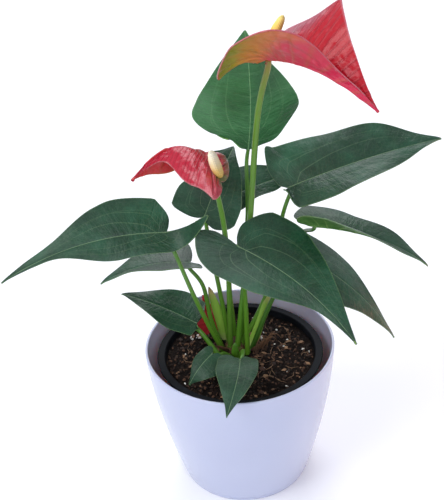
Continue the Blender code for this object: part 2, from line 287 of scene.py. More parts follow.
def buildStudio():
    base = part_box("cachepot")[0].z
    deselectAll()
    bpy.ops.mesh.primitive_plane_add(size=studio["floorSize"], location=(0, 0, base))
    floor = bpy.context.object
    floor.name = "floor"
    bpy.ops.object.transform_apply(location=True, rotation=True, scale=True)
    # matt emulsion on board: even, almost white
    paint = startMaterial("paintedBackdrop", {
        "Base Color": linear(studio["floorColour"]), "Roughness": studio["floorRoughness"]})
    floor.data.materials.append(paint[0])

    world = bpy.data.worlds.new("studioWorld")
    bpy.context.scene.world = world
    world.use_nodes = True
    background = world.node_tree.nodes["Background"]
    background.inputs["Color"].default_value = linear(studio["worldColour"])
    background.inputs["Strength"].default_value = studio["worldStrength"]
    aim = Vector((0, 0, base + studio["lampAim"]))
    for name, (place, size, strength, colour) in studio["lights"].items():
        bpy.ops.object.light_add(type="AREA", location=place)
        lamp = bpy.context.object
        lamp.name = name
        lamp.data.shape = "DISK"
        lamp.data.size = size
        lamp.data.energy = strength
        lamp.data.color = linear(colour)[:3]
        target = Vector((0, studio["backdropAim"], base)) if name == "backdrop" else aim
        lamp.rotation_euler = (Vector(place) - target).to_track_quat("Z", "Y").to_euler()

    tilt, roll = math.radians(studio["elevation"]), math.radians(studio["roll"])
    back = Vector((0, -math.cos(tilt), math.sin(tilt)))
    right = Vector((1, 0, 0))
    up = back.cross(right)
    aside = math.cos(roll) * right + math.sin(roll) * up
    upward = -math.sin(roll) * right + math.cos(roll) * up
    aim = Vector((studio["aimAside"], 0, base + studio["aimHeight"]))
    bpy.ops.object.camera_add()
    camera = bpy.context.object
    camera.data.sensor_width = 36
    camera.data.lens = studio["lens"]
    camera.data.clip_start = .01
    place = Matrix((aside, upward, back)).transposed().to_4x4()
    place.translation = aim + back * studio["distance"]
    camera.matrix_world = place
    bpy.context.scene.camera = camera
    bpy.context.scene.view_settings.view_transform = "Standard"
    print("studio done")


buildStudio()


# cover pot, a turned shape; lengths in millimetres

coverPot = {
    "sides": 160, "wall": 1.9, "floor": 2.6, "curve": 1.55, "footRadius": 49.0,
    "footLine": 3.4, "cloud": ["#B9BDD5", "#C0C4DB"], "scuffColour": "#C9C7D6",
}


def glossyPolypropylene():
    # injection moulded polypropylene, polished mould: even milky white with a clean
    # gloss, a very slight orange peel and a few scuffs near the foot
    material, tree, shader = startMaterial("glossyPolypropylene", {
        "Roughness": .22, "IOR": 1.49, "Coat Weight": .25, "Coat Roughness": .08,
        "Subsurface Weight": .04})
    where = objectPlace(tree)
    cloud = noiseNode(tree, where, 9.0)
    tint = rampNode(tree, cloud, list(zip((.3, .7), coverPot["cloud"])))
    # short scuffs, about 4 mm long and 1 mm high
    scratch = noiseNode(tree, stretched(tree, where, (260, 260, 900), (.2, .3, 0)), 1.0, 3.0)
    height = addNode(tree, "SeparateXYZ", {}, {"Vector": where}).outputs["Z"]
    scuff = calc(tree, "MULTIPLY", remap(tree, scratch, .68, .78),
                 remap(tree, height, .03, .006))
    colour = blend(tree, scuff, tint, coverPot["scuffColour"])
    peel = noiseNode(tree, where, 420.0, 1.0)
    dress(tree, shader, colour, remap(tree, cloud, 0, 1, .19, .27), peel, .05, .0002)
    return material


def turnedPiece(name, sides, profile):
    # a ring is pulled up and scaled from step to step, millimetres
    deselectAll()
    radius, height = profile[0]
    bpy.ops.mesh.primitive_circle_add(vertices=sides, radius=radius * mm,
                                      location=(0, 0, height * mm))
    piece = bpy.context.object
    piece.name = name
    bpy.ops.object.transform_apply(location=True, rotation=True, scale=True)
    bpy.ops.object.mode_set(mode="EDIT")
    bpy.ops.mesh.select_all(action="SELECT")
    for nextRadius, nextHeight in profile[1:]:
        bpy.ops.mesh.extrude_region_move(
            TRANSFORM_OT_translate={"value": (0, 0, (nextHeight - height) * mm)})
        share = nextRadius / radius
        bpy.ops.transform.resize(value=(share, share, 1),
                                 center_override=(0, 0, nextHeight * mm))
        radius, height = nextRadius, nextHeight
    bpy.ops.object.mode_set(mode="OBJECT")
    closeShell(piece)
    return piece


def buildCoverPot():
    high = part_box("cachepot")[1]
    rim, tall = high.x / mm, high.z / mm
    wall, floorTop = coverPot["wall"], coverPot["floor"]
    foot = coverPot["footRadius"]

    def radiusAt(height):
        return foot + (rim - foot) * (1 - (1 - height / tall) ** coverPot["curve"])
    footLine = coverPot["footLine"]
    outside = [(4, .6), (foot - 6, .6), (foot - 4, 0), (foot - 1.2, 0), (foot - .4, .25),
               (foot, .9), (foot + .45, footLine - .9), (foot + .4, footLine - .45),
               (foot - .1, footLine - .15), (foot - .1, footLine + .2),
               (radiusAt(footLine + .6), footLine + .6)]
    heights = np.linspace(footLine + 2, tall - 2.4, 26)
    outside += [(radiusAt(h), h) for h in heights]
    edge = wall / 2
    for angle in range(0, 181, 20):
        a = math.radians(angle)
        outside.append((rim - edge + edge * math.cos(a), tall - edge + edge * math.sin(a)))
    inside = [(radiusAt(h) - wall, h) for h in heights[:0:-1]]
    inside += [(radiusAt(floorTop + 3) - wall - .6, floorTop + 2.2),
               (radiusAt(floorTop) - wall - 3, floorTop), (4, floorTop)]
    piece = turnedPiece("coverPot", coverPot["sides"], outside + inside)
    finishPiece(piece, ["cachepot"], glossyPolypropylene(), crispShade)
    print("cover pot done")


buildCoverPot()


# nursery pot inside it

nurseryPot = {"sides": 144, "lipDepth": 1.6, "topRadius": 57.2, "baseRadius": 41.0,
              "wall": 1.2, "lipEdge": .45}


def thinMattePlastic():
    # thermoformed dark polypropylene: matte, a little dusty, fine grain from the mould
    material, tree, shader = startMaterial("thermoformedPolypropylene", {
        "Roughness": .65, "IOR": 1.49, "Specular IOR Level": .12})
    where = objectPlace(tree)
    dust = noiseNode(tree, where, 70.0, 6.0, .6)
    colour = rampNode(tree, dust, [(.35, "#0B0D10"), (.6, "#13161B"), (.8, "#24272D")])
    grain = noiseNode(tree, where, 1500.0)
    dress(tree, shader, colour, remap(tree, dust, 0, 1, .55, .75), grain, .2, .0002)
    return material


def buildNurseryPot():
    low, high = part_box("nursery_pot")
    base, top, lip = low.z / mm, high.z / mm, high.x / mm
    wall, under = nurseryPot["wall"], high.z / mm - nurseryPot["lipDepth"]
    topRadius, baseRadius, edge = (nurseryPot["topRadius"], nurseryPot["baseRadius"],
                                   nurseryPot["lipEdge"])
    profile = [(3, base), (baseRadius - 1.5, base), (baseRadius, base + 1.2)]
    for share in np.linspace(.1, .95, 10):
        profile.append((baseRadius + (topRadius - 1 - baseRadius) * share,
                        base + (under - 8 - base) * share))
    profile += [(topRadius - .6, under - 3), (topRadius, under - .6), (topRadius + .5, under),
                (lip - edge, under), (lip, under + edge), (lip, top - edge),
                (lip - edge, top), (topRadius - wall + .5, top), (topRadius - wall, top - .5),
                (topRadius - wall - .1, under - 3)]
    for share in np.linspace(.95, .1, 10):
        profile.append((baseRadius + (topRadius - 1 - baseRadius) * share - wall,
                        base + wall + (under - 8 - base) * share))
    profile += [(baseRadius - wall - 1, base + wall), (3, base + wall)]
    piece = turnedPiece("nurseryPot", nurseryPot["sides"], profile)
    finishPiece(piece, ["nursery_pot"], thinMattePlastic(), crispShade)
    print("nursery pot done")


buildNurseryPot()


# potting mix: crumbly surface, crumbs, bark, perlite and rootlets

pottingMix = {
    "around": 320, "outward": 96, "downward": 8, "edgeRadius": 55.4, "sunk": .9,
    "crumbs": 1300, "barkFlakes": 170, "perliteGrains": 44,
}


def soilHeight(x, y):
    # millimetres above the mean surface
    place = Vector((x * .045, y * .045, 2.7))
    lift = 1.1 * noise.noise(place)
    lift += .9 * noise.noise(place * 4.1)
    lift += 1.1 * abs(noise.noise(place * 9.3))
    lift += .8 * noise.noise(place * 19.0)
    return lift


def dampPeat():
    # peat with bark fines: near black brown where damp, red brown fibres where dry
    material, tree, shader = startMaterial("dampPeat", {
        "Roughness": .92, "IOR": 1.4, "Specular IOR Level": .2})
    where = objectPlace(tree)
    colour = rampNode(tree, noiseNode(tree, where, 160.0, 8.0, .72), [
        (.32, "#080504"), (.50, "#140D0A"), (.60, "#221712"), (.70, "#3C2A20"),
        (.84, "#6E543F")])
    dress(tree, shader, colour, None, noiseNode(tree, where, 900.0, 4.0), 1.0, .0012)
    return material


def barkOrCrumb(name, stops, roughness):
    # broken bark and crumbs: each bit its own brown, fibrous, dull
    material, tree, shader = startMaterial(name, {"Roughness": roughness, "IOR": 1.45})
    grain = noiseNode(tree, objectPlace(tree), 700.0, 5.0)
    mixed = calc(tree, "MULTIPLY_ADD", grain, .35, numbersOf(tree, "bitTone"))
    dress(tree, shader, rampNode(tree, mixed, stops), None, grain, .6, .0004)
    return material


def buildSoil():
    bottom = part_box("potting_mix")[0].z / mm
    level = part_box("crown")[0].z / mm - pottingMix["sunk"]
    edge, outward = pottingMix["edgeRadius"], pottingMix["outward"]
    steps = outward + pottingMix["downward"]
    deselectAll()
    bpy.ops.mesh.primitive_grid_add(x_subdivisions=pottingMix["around"],
                                    y_subdivisions=steps, size=2)
    piece = bpy.context.object
    piece.name = "pottingMix"
    flat = pointsOf(piece)
    angle = flat[:, 0] * math.pi
    step = np.round((flat[:, 1] + 1) / 2 * steps).astype(int)
    share = np.minimum(step / outward, 1)
    radius = edge * share ** .8
    x, y = radius * np.cos(angle), radius * np.sin(angle)
    height = np.array([level + soilHeight(a, b) for a, b in zip(x, y)])
    # the outermost steps go down the pot's wall and back to the middle below
    down = np.clip(step - outward, 0, pottingMix["downward"])
    slope = (edge - nurseryPot["baseRadius"]) / (level - bottom)
    for k, (depth, inward) in enumerate(
            [(1.5, .1), (6, .8), (30, 6), (60, 11), (level - bottom - 3, 14.2),
             (level - bottom, 16), (level - bottom, 30), (level - bottom, edge)], start=1):
        here = down == k
        radius[here] = edge - max(inward, depth * slope if k < 6 else inward)
        radius[here] = np.maximum(radius[here], 0)
        height[here] = level - depth
    points = np.stack([radius * np.cos(angle), radius * np.sin(angle), height], axis=1)
    movePoints(piece, points * mm)
    closeShell(piece, 1e-5)
    finishPiece(piece, ["potting_mix"], dampPeat(), softShade)
    return level


def scatterBits(name, count, base, place, material, toneRange=(0, 1)):
    # one bit is modelled, then copied, turned and joined
    copies = []
    for _ in range(count):
        bit = base.copy()
        bit.data = base.data.copy()
        bpy.context.collection.objects.link(bit)
        bit.matrix_world = place()
        addNumbers(bit, "bitTone", [random.uniform(*toneRange)] * len(bit.data.vertices))
        copies.append(bit)
    bpy.data.objects.remove(base, do_unlink=True)
    joinPieces(copies, name)
    piece = copies[0]
    bpy.ops.object.transform_apply(location=True, rotation=True, scale=True)
    piece.data.materials.clear()
    finishPiece(piece, (), material, crispShade)


def roughLump(subdivisions, rough, seedAt):
    deselectAll()
    bpy.ops.mesh.primitive_ico_sphere_add(subdivisions=subdivisions, radius=1)
    lump = bpy.context.object
    points = pointsOf(lump)
    for k, p in enumerate(points):
        points[k] = p * (1 + rough * noise.noise(Vector(p) * 1.4 + Vector((seedAt, 0, 0))))
    movePoints(lump, points)
    return lump


def scatterSoil(level):
    def spot(inner, outer, sizes, flatness, lift):
        def place():
            angle = random.uniform(0, 2 * math.pi)
            reach = math.sqrt(random.uniform(inner ** 2, outer ** 2))
            x, y = reach * math.cos(angle), reach * math.sin(angle)
            size = random.uniform(*sizes)
            turn = Matrix.Rotation(random.uniform(0, 6.28), 4, "Z") @ \
                Matrix.Rotation(random.uniform(-.6, .6), 4, "X")
            shape = Matrix.Diagonal((size * mm, size * random.uniform(.45, .8) * mm,
                                     size * flatness * mm, 1))
            z = level + soilHeight(x, y) + size * lift
            return Matrix.Translation(Vector((x, y, z)) * mm) @ turn @ shape
        return place
    crumbLook = barkOrCrumb("peatCrumb", [(.1, "#0C0806"), (.7, "#281B14"),
                                          (1.0, "#5A3F2E")], .95)
    barkLook = barkOrCrumb("compostedBark", [(.1, "#1C130F"), (.6, "#4A3226"),
                                             (1.0, "#8C6B50")], .85)
    perliteLook = barkOrCrumb("expandedPerlite", [(.1, "#B9B4AA"), (.9, "#F3F1EC")], .9)
    scatterBits("peatCrumbs", pottingMix["crumbs"], roughLump(1, .5, 3.3),
                spot(9, 54, (.5, 1.5), .7, .25), crumbLook)
    scatterBits("barkFlakes", pottingMix["barkFlakes"], roughLump(2, .75, 8.1),
                spot(9, 52, (.8, 2.2), .3, .15), barkLook)
    scatterBits("perliteGrains", pottingMix["perliteGrains"], roughLump(2, .6, 5.2),
                spot(10, 52, (.6, 1.3), .8, .4), perliteLook)
    print("potting mix done")


soilLevel = buildSoil()
scatterSoil(soilLevel)


# stalks, rootlets, sheaths and the flower spikes all start as a rod

def rodPiece(name, sides, cuts, path, radiusAt, flatten=1):
    # a cylinder, cut into steps, laid along the path; millimetres in, metres out
    deselectAll()
    bpy.ops.mesh.primitive_cylinder_add(vertices=sides, radius=1, depth=1)
    piece = bpy.context.object
    piece.name = name
    bpy.ops.object.mode_set(mode="EDIT")
    bpy.ops.mesh.select_all(action="DESELECT")
    bpy.ops.object.mode_set(mode="OBJECT")
    flat = pointsOf(piece)
    for edge in piece.data.edges:
        a, b = edge.vertices
        edge.select = abs(flat[a][2] - flat[b][2]) > .5
    bpy.context.tool_settings.mesh_select_mode = (False, True, False)
    bpy.ops.object.mode_set(mode="EDIT")
    bpy.ops.mesh.subdivide(number_cuts=cuts, quadcorner="INNERVERT")
    bpy.ops.object.mode_set(mode="OBJECT")
    flat = pointsOf(piece)
    share = flat[:, 2] + .5
    angle = np.arctan2(flat[:, 1], flat[:, 0])
    steps = np.linspace(0, 1, cuts + 2)
    line = smoothLine(path, steps)
    # a frame that doesn't twist along the path
    sideways, frames = np.array([1.0, 0, 0]), []
    for k in range(len(line)):
        ahead = unit(line[min(k + 1, len(line) - 1)] - line[max(k - 1, 0)])
        sideways = unit(sideways - sideways.dot(ahead) * ahead)
        frames.append((sideways, np.cross(ahead, sideways)))
    frames = np.array(frames)
    k = np.round(share * (cuts + 1)).astype(int)
    radius = radiusAt(share, angle)
    wide = radius * np.cos(angle)
    deep = radius * np.sin(angle) * flatten
    points = line[k] + wide[:, None] * frames[k, 0] + deep[:, None] * frames[k, 1]
    movePoints(piece, points * mm)
    addNumbers(piece, "alongRod", share)
    return piece


def stalkSkin(name, stops, roughness=.38):
    # smooth living epidermis: waxy, faint lengthwise lines, colour runs along the stalk
    material, tree, shader = startMaterial(name, {
        "IOR": 1.45, "Subsurface Weight": .08, "Subsurface Radius": (.002, .002, .001),
        "Subsurface Scale": .5, "Coat Weight": .15, "Coat Roughness": .3})
    where = objectPlace(tree)
    blotch = noiseNode(tree, where, 120.0, 3.0)
    shift = calc(tree, "MULTIPLY_ADD", blotch, .16, numbersOf(tree, "alongRod"))
    colour = rampNode(tree, calc(tree, "SUBTRACT", shift, .08), stops)
    lines = noiseNode(tree, stretched(tree, where, (2200, 2200, 60)), 1.0)
    colour = lighten(tree, colour, remap(tree, lines, 0, 1, .82, 1.12))
    rough = remap(tree, blotch, 0, 1, roughness - .08, roughness + .12)
    dress(tree, shader, colour, rough, lines, .25, .0003)
    return material


stalkLooks = {
    "green": stalkSkin("petioleSkin", [(0, "#56702A"), (.12, "#5C8A24"), (.6, "#4C7E20"),
                                       (1, "#467422")]),
    "deepGreen": stalkSkin("petioleSkinDeep", [(0, "#4A5A24"), (.2, "#3F6A22"),
                                               (1, "#3D6628")]),
    "reddish": stalkSkin("peduncleSkinRed", [(0, "#4F6B22"), (.3, "#4E8220"),
                                             (.62, "#5C8424"), (.82, "#7C7A28"),
                                             (.94, "#8E6432"), (1, "#8A4A36")]),
    "olive": stalkSkin("peduncleSkin", [(0, "#55702A"), (.5, "#4E8220"), (1, "#648A2C")]),
    "pale": stalkSkin("paleSheath", [(0, "#B9CC7C"), (.15, "#8FBA48"), (.7, "#86B040"),
                                     (.88, "#B3A468"), (1, "#8A6038")], .5),
    "dry": stalkSkin("dryScaleLeaf", [(0, "#3A281C"), (.5, "#6E4E34"), (1, "#4E3422")], .8),
    "root": stalkSkin("rootlet", [(0, "#5A4231"), (.5, "#8D6E52"), (1, "#6A4E3A")], .8),
}
print("stalk materials done")


# the outline and the shape of every leaf and flower; lengths in millimetres

# half a heart shape: across, along
heartOutline = np.array([
    [0.02, -0.25], [0.16, -0.72], [0.46, -1.0],
    [0.86, -0.55], [1.0, 0.12], [0.88, 0.37],
    [0.55, 0.64], [0.20, 0.86], [0.012, 1.0]])
ribStarts = np.array([0, .008, .02, .05, .14, .30, .52, .80, 1.0])

plainBlade = dict(
    wide=(30, 30), lobe=(12, 12), arch=5, roll=0, fold=(0, 0),
    tipFold=(0, 0), curl=0, shoulder=(1, 1), middle=(1, 1), belly=(1, 1), edges=({}, {}),
    taper=(1, 1), bow=0, droop=(0, 0), stemRadius=(1.9, 1.3), stalk="green",
    quilt=.07, ripple=.9, phase=0, peak=(None, 0, 1, 0), skin="mature", rows=88, columns=26)

leaves = {
    "back": dict(
        joint=(14.7, 44, 249.5), tip=(15.8, 38, 339),
        wide=(44, 37), lobe=(-8, 8), arch=3, roll=-8,
        fold=(-10, -22), tipFold=(-7, 8), curl=-12, bow=3,
        edges=({0: (.05, .002), 1: (.14, .012), 2: (.36, .078),
                3: (.68, .12), 4: (1.0, .225), 5: (.93, .37),
                6: (.70, .56), 7: (.44, .75)},
               {0: (.05, .002), 1: (.16, .008), 2: (.42, .05),
                3: (.66, .15), 4: (.90, .32), 5: (.87, .46),
                6: (.67, .61), 7: (.32, .80)}), skin="young", quilt=.14, ripple=1.4,
        stem=[(2.6, 16, 108.6), (8, 17, 180), (11.5, 22, 212),
              (13, 45, 236)]),
    "right_high": dict(
        joint=(41, 15, 233), tip=(150, 37, 252), wide=(34, 24),
        lobe=(9, 6), arch=5, roll=0, fold=(4, 20),
        middle=(1, .92), droop=(0, -9), quilt=.2, ripple=1.2,
        curl=-12, shoulder=(1.28, .6), taper=(1.35, 1.15),
        stem=[(3.6, 10, 108.6), (22, 13, 147), (35, 15, 208)]),
    "right_middle": dict(
        joint=(55, -2, 211), tip=(135, -8, 176), wide=(24, 27),
        lobe=(13, 14), arch=8, roll=-20, fold=(3, 68), stalk="deepGreen",
        tipFold=(6, 12), curl=-22, belly=(.85, 1.0),
        taper=(1, .6),
        stem=[(9.3, 16, 102.4), (25, 20, 145), (46, 21, 188)]),
    "front_large": dict(
        joint=(3, -15, 206), tip=(75, -74, 162), wide=(37, 25),
        lobe=(9, 27), arch=-7, roll=5, fold=(-4, -7), quilt=.1,
        tipFold=(-7, -7), curl=-6, shoulder=(.9, 1.15),
        belly=(.93, .87), taper=(.83, .5), bow=-9,
        stem=[(5.7, 2.4, 102.4), (6, 0, 150), (5, -8, 192)]),
    "right_low": dict(
        joint=(46, -2, 188), tip=(111, -20, 124), wide=(29, 27),
        lobe=(4, 14), arch=8, roll=-27, fold=(-5, -3), stalk="deepGreen",
        curl=-5, taper=(.6, .74),
        stem=[(9.8, 8.5, 102.4), (25, 5, 145), (39, 0, 175)]),
    "left_large": dict(
        joint=(-46, -4, 214.5), tip=(-158.5, -27, 197),
        wide=(15, 28), lobe=(28, 5), arch=8, roll=-15,
        fold=(5, 2), curl=-10, shoulder=(1.25, .78),
        middle=(1, .97), droop=(-34, 0),
        edges=({2: (.30, -1.0), 3: (.85, -.5)}, {}), quilt=.1,
        belly=(1.2, .93), taper=(.5, .58), bow=7,
        stem=[(-13, 7, 102.4), (-21, 1, 128), (-31, -4, 162),
              (-42, -4, 200)]),
    "left_middle": dict(
        joint=(-32.5, 18, 175), tip=(-98, 13, 165), wide=(18, 26),
        lobe=(9, 3), arch=6, roll=34, fold=(14, 8), curl=0,
        belly=(1.04, .88),
        stem=[(-14, 13, 102.4), (-20, 15, 125), (-24, 16, 155)]),
    "left_low": dict(
        joint=(-31, 5, 130), tip=(-85, 22, 149), wide=(16, 23),
        shoulder=(.45, .8), middle=(.85, 1), lobe=(3, 2), arch=3, roll=15, fold=(0, 0), curl=-5,
        stem=[(-14, -4, 102.4), (-19, -2, 110), (-27, 2, 122)]),
    "front_left_small": dict(
        joint=(-21, -25, 123), tip=(-38, -39, 108), wide=(15, 8),
        lobe=(5, 5), arch=5, roll=0, curl=-8, rows=56, columns=16,
        stem=[(-7, -3, 102.4), (-12, -12, 113), (-18, -21, 118)],
        stemRadius=(1.5, 1.1)),
    "front_small": dict(
        joint=(-1, -39, 128), tip=(-13, -87, 118), wide=(13, 16),
        lobe=(8, 4), arch=7, roll=1, curl=-8, belly=(1, 1.1),
        taper=(1.1, 1.1), bow=-2, rows=64, columns=18,
        stem=[(0, -2, 102.4), (2, -14, 116), (1, -29, 123)],
        stemRadius=(1.6, 1.2)),
    "back_left": dict(
        joint=(-19, 18, 213), tip=(5, 54, 248), wide=(25, 23),
        lobe=(4, 6), arch=10, roll=10, fold=(5, 15),
        tipFold=(16, 3), curl=-6, belly=(.85, .96),
        taper=(1.4, 1.0), rows=72, columns=22,
        stem=[(-7.6, 14, 108.6), (-12, 15, 150), (-18, 17, 200)]),
    "back_centre": dict(
        joint=(-5, 34, 216), tip=(51, 50, 226), wide=(21, 13),
        lobe=(8, 8), arch=3, roll=0, curl=-6, belly=(1.1, .8),
        taper=(1.15, 1.2), rows=64, columns=20,
        stem=[(-3, 18, 108.6), (-5, 23, 150), (-6, 30, 200)]),
}

flowers = {
    "high": dict(
        joint=(26, -4.6, 334.4), tip=(90.2, -48, 313.4),
        wide=(29, 45), lobe=(14, 20), arch=17.5, roll=-8.5,
        edges=({}, {1: (.5, -.5), 2: (.82, -.92)}), peak=(0, .63, .024, .12),
        fold=(12.6, 50), tipFold=(68.5, 94), curl=-5,
        shoulder=(.81, 1.19), middle=(1.04, 1.22),
        belly=(1.65, 1.08), taper=(1.54, .59), droop=(7, 23), bow=7.5,
        skin="spatheHigh", rows=110, columns=34, quilt=.35, ripple=.4,
        stem=[(-1, 6.2, 108.6), (11, 8, 200), (20, 2, 292)], stalk="reddish",
        stemRadius=(2.3, 1.9), spadix=(0.45, -0.1, 1.0),
        spadixLength=28, spadixRadius=3.3),
    "middle": dict(
        joint=(-7, -23, 262), tip=(-64, -15, 262), wide=(36, 35),
        lobe=(3, 4), arch=20, roll=48, fold=(0, 28),
        tipFold=(-60, -78), curl=-18, belly=(1.05, 1.05),
        taper=(.6, 1.3), bow=18, skin="spatheMiddle", rows=110, columns=34,
        quilt=.55, ripple=.4, stalk="olive",
        stem=[(-6.6, 8, 108.6), (-5, 3, 170), (-6, -7, 218)],
        stemRadius=(2.1, 1.7), spadix=(-0.25, -0.2, 1.0),
        spadixLength=20, spadixRadius=3.6),
    "low": dict(
        joint=(-20, 25, 107.5), tip=(-25, 38, 132), wide=(11, 10),
        lobe=(2, 2), arch=2, roll=0, fold=(12, 12),
        tipFold=(40, 40), rows=40, columns=12, skin="spatheLow", quilt=.1,
        ripple=.1, stem=[(-14.5, 25, 102.4), (-17, 27.5, 103.8), (-19, 28, 104.6)],
        stemRadius=(1.4, 1.2), spadix=None),
}


def bladeAxes(shape):
    # along, across and upward directions of a blade, and its length
    joint = np.array(shape["joint"], float)
    along = np.array(shape["tip"], float) - joint
    length = np.linalg.norm(along)
    along = along / length
    # before its roll a blade faces up and 30 degrees forward
    lean = np.array([0, -.5, .866])
    up = unit(lean - lean.dot(along) * along)
    across = np.cross(along, up)
    a = math.radians(shape["roll"])
    turned = math.cos(a) * across - math.sin(a) * up
    raised = math.cos(a) * up + math.sin(a) * across
    return along, turned, raised, length


def bladeSide(shape, k, axes, t, share):
    # points of one half: t runs from the sinus round the lobe to the tip
    along, across, up, length = axes
    outline = heartOutline.copy()
    outline[2:4, 0] *= shape["shoulder"][k]
    outline[4, 0] *= shape["middle"][k]
    outline[5, 0] *= shape["belly"][k]
    outline[6:8, 0] *= shape["taper"][k]
    for place, point in shape["edges"][k].items():
        outline[place] = point
    edge = smoothLine(np.c_[outline, np.zeros(len(outline))], t)[:, :2]
    peakSide, place, spread, amount = shape["peak"]
    if k == peakSide:
        edge[:, 0] *= 1 + amount * np.exp(-np.abs(t - place) / spread)
    lobe, wide = shape["lobe"][k], shape["wide"][k]
    edgeY = np.where(edge[:, 1] < 0, edge[:, 1] * lobe, edge[:, 1] * length)
    rib = np.interp(t * (len(ribStarts) - 1), range(len(ribStarts)), ribStarts) * length
    x = edge[:, 0] * wide * share
    y = rib * (1 - share) + edgeY * share
    s = y / length
    ahead = np.clip(s, 0, 1)
    back = np.clip(-y / abs(lobe), 0, 1)
    bend = 4 * ahead * (1 - ahead)
    rise = np.where(s < 0, 4 * s, bend) * shape["arch"]
    rise = rise - shape["droop"][k] * back ** 2
    fold, tipFold = shape["fold"][k], shape["tipFold"][k]
    angle = np.radians(fold + (tipFold - fold) * ahead
                       + .5 * shape["curl"] * x / wide)
    sign = (-1, 1)[k]
    out = sign * x * np.cos(angle) + shape["bow"] * bend
    rise = rise + x * np.sin(angle)
    joint = np.array(shape["joint"], float)
    points = joint + y[:, None] * along + out[:, None] * across + rise[:, None] * up
    return points, sign * x, y


veinRows = 11  # side veins in each half
bladeSurface = {
    "columnPower": 1.15,  # above 1, the columns stand closer together at the midrib
    "grooveDepth": .3, "grooveWidth": 1.1, "bumpScale": .06, "fineBumpScale": .19,
    "fineBumpShare": .6, "bumpShare": 2.6, "shellOffset": -.6, "shadeAngle": 62,
}


def veinNear(t):
    # 1 on a side vein, 0 between two
    gap = np.abs(t * veinRows - np.round(t * veinRows))
    return np.exp(-(gap / .13) ** 2)


def buildBlade(name, node, spec, materials, thickness=.62):
    shape = dict(plainBlade, **spec)
    if "tipFold" not in spec:
        shape["tipFold"] = shape["fold"]
    rows, columns = shape["rows"], shape["columns"]
    deselectAll()
    bpy.ops.mesh.primitive_grid_add(x_subdivisions=2 * columns, y_subdivisions=rows, size=2)
    piece = bpy.context.object
    piece.name = name
    flat = pointsOf(piece)
    s, t = flat[:, 0], (flat[:, 1] + 1) / 2
    share = np.abs(s) ** bladeSurface["columnPower"]
    axes = bladeAxes(shape)
    left, leftX, leftY = bladeSide(shape, 0, axes, t, share)
    right, rightX, rightY = bladeSide(shape, 1, axes, t, share)
    onRight = s > 0
    points = np.where(onRight[:, None], right, left)
    x, y = np.where(onRight, rightX, leftX), np.where(onRight, rightY, leftY)
    # normals from the grid, to puff the skin between the veins
    order = np.lexsort((np.round(s, 5), np.round(t, 5)))
    width = 2 * columns + 1
    grid = points[order].reshape(-1, width, 3)
    raw = np.pad(np.cross(np.gradient(grid, axis=1), np.gradient(grid, axis=0)),
                 ((1, 1), (1, 1), (0, 0)), mode="edge")
    tall = len(grid)
    # the sum over the neighbours, since rows crowd together at the joint
    normal = sum(raw[a:a + tall, b:b + width] for a in range(3) for b in range(3))
    normal /= np.linalg.norm(normal, axis=2)[..., None] + 1e-12
    normals = np.empty_like(points)
    normals[order] = normal.reshape(-1, 3)
    inner = np.sin(math.pi * np.clip(share, 0, 1)) ** .7
    puff = shape["quilt"] * (1 - 1.6 * veinNear(t)) * inner
    groove = -bladeSurface["grooveDepth"] * np.exp(-(x / bladeSurface["grooveWidth"]) ** 2)
    ripple = shape["ripple"] * share ** 3 * np.sin(t * 19 + shape["phase"] + 2 * onRight) \
        * np.clip(t * 6, 0, 1) * np.clip((1 - t) * 5, 0, 1)
    coarse, fine = bladeSurface["bumpScale"], bladeSurface["fineBumpScale"]
    bumps = np.array([noise.noise(Vector(p) * coarse)
                      + bladeSurface["fineBumpShare"] * noise.noise(Vector(p) * fine)
                      for p in points]) * shape["quilt"] * bladeSurface["bumpShare"]
    lift = puff + groove + ripple + bumps * inner
    if "wrinkle" in shape:
        lift = lift + shape["wrinkle"](t, share, onRight)
    # flat beside the sinus, where the rows meet
    lift = lift * np.clip(t * 6 - .4, 0, 1)
    tone = shape["tone"](t, share, onRight, points) if "tone" in shape else 0 * t
    points = centreOn(points * mm, node) + normals * lift[:, None] * mm
    movePoints(piece, points)
    addFlatMap(piece, "veins", (s + 1) / 2, t)
    addFlatMap(piece, "size", x / 100, y / 100)
    addNumbers(piece, "tone", tone)
    # thicker along the midrib and the side veins, on the underside
    thick = .5 + .5 * np.exp(-(x / 1.0) ** 2) * np.clip(1.2 - t, .2, 1) \
        + .16 * veinNear(t) * (1 - share)
    group = piece.vertex_groups.new(name="thickness")
    for k, value in enumerate(np.clip(thick, 0, 1)):
        group.add([k], float(value), "REPLACE")
    for material in materials:
        piece.data.materials.append(material)
    makeActive(piece)
    shell = piece.modifiers.new("thickness", "SOLIDIFY")
    shell.thickness = 2 * thickness * mm
    shell.offset = bladeSurface["shellOffset"]
    shell.vertex_group = "thickness"
    shell.material_offset = 1
    shell.material_offset_rim = 0
    bpy.ops.object.modifier_apply(modifier=shell.name)
    piece.vertex_groups.clear()
    finishPiece(piece, [node], None, bladeSurface["shadeAngle"])
    return shape, axes


